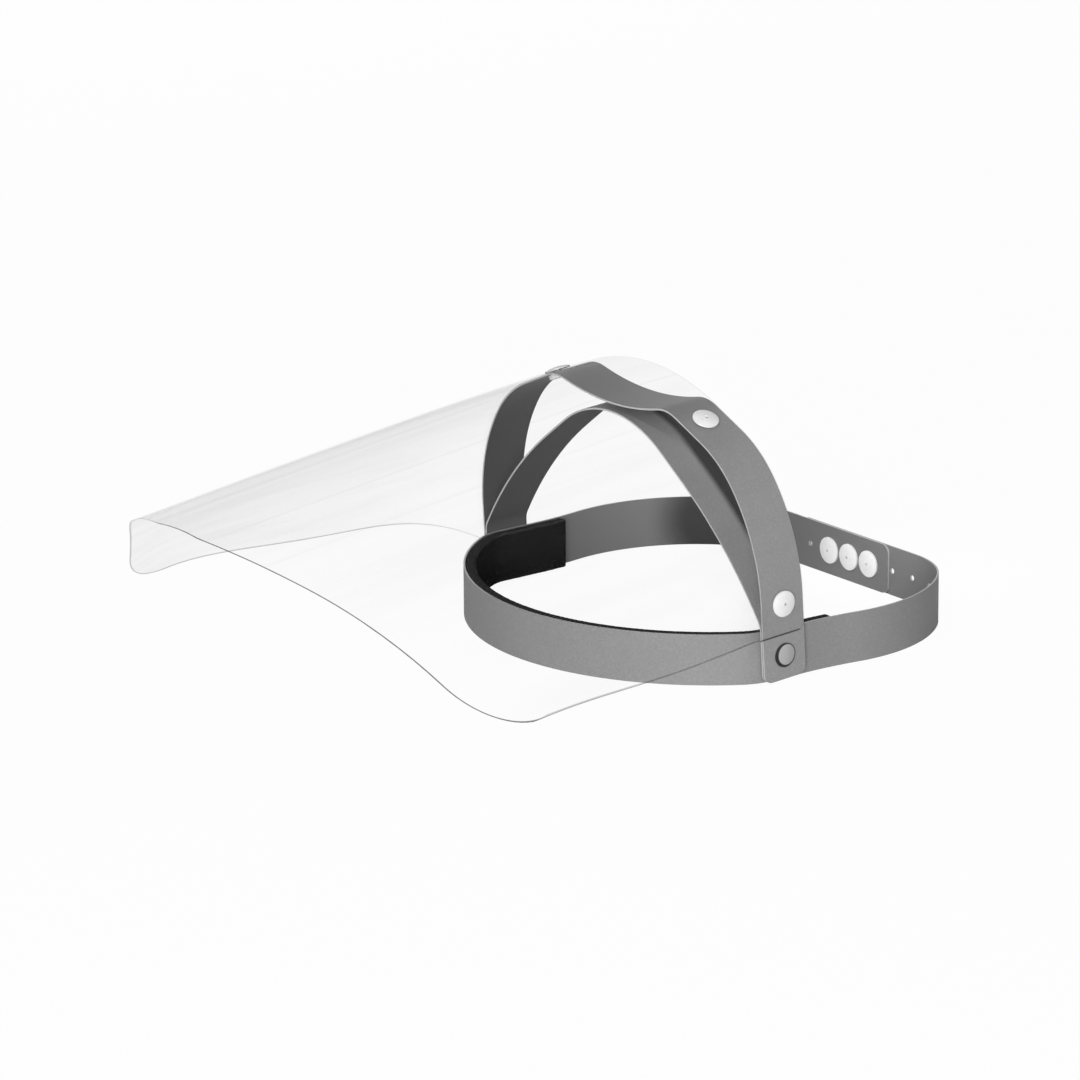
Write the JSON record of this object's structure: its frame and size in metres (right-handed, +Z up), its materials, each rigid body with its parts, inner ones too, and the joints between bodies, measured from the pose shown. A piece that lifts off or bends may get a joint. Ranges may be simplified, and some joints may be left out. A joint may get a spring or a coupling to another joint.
{
  "type": "face shield",
  "caption": "Face shield with a closed adjustable headband, a foam brow pad, a crown strap and a clear curved visor that tilts up on temple rivets.",
  "frame": {"origin": "halfway between the two temple rivets, on their axis and at the middle of the headband's height", "axes": "+X to the wearer's left along the rivets' axis, -Y the way the wearer faces, +Z up"},
  "size_m": [0.2646, 0.3535, 0.1167],
  "materials": {
    "band_plastic": "fine leather grain",
    "strap_plastic": "fine leather grain",
    "pad_foam": "open-cell foam",
    "clear_film": "clear, glossy",
    "stud_plastic": "satin",
    "rivet_plastic": "satin"
  },
  "bodies": {
    "head": {"headband": "band_plastic", "brow_pad": "pad_foam", "closure_stud_cap_1": "stud_plastic", "closure_stud_cap_2": "stud_plastic", "closure_stud_cap_3": "stud_plastic", "closure_stud_socket_1": "stud_plastic", "closure_stud_socket_2": "stud_plastic", "closure_stud_socket_3": "stud_plastic", "temple_rivet_left": "rivet_plastic", "temple_washer_left": "rivet_plastic", "temple_rivet_right": "rivet_plastic", "temple_washer_right": "rivet_plastic"},
    "crown": {"crown_strap": "strap_plastic"},
    "visor": {"visor_strap": "strap_plastic", "visor_film": "clear_film", "lower_stud_cap_left": "stud_plastic", "lower_stud_cap_right": "stud_plastic", "lower_stud_socket_left": "stud_plastic", "lower_stud_socket_right": "stud_plastic", "upper_stud_cap_left": "stud_plastic", "upper_stud_cap_right": "stud_plastic", "upper_stud_socket_left": "stud_plastic", "upper_stud_socket_right": "stud_plastic"}
  },
  "joints": [
    {"name": "crown_tilt", "type": "hinge", "parent": "head", "child": "crown", "pos_m": [0, 0, 0], "axis": [1, 0, 0], "range_deg": [-15, 15]},
    {"name": "visor_tilt", "type": "hinge", "parent": "head", "child": "visor", "pos_m": [0, 0, 0], "axis": [1, 0, 0], "range_deg": [-25, 80]}
  ]
}
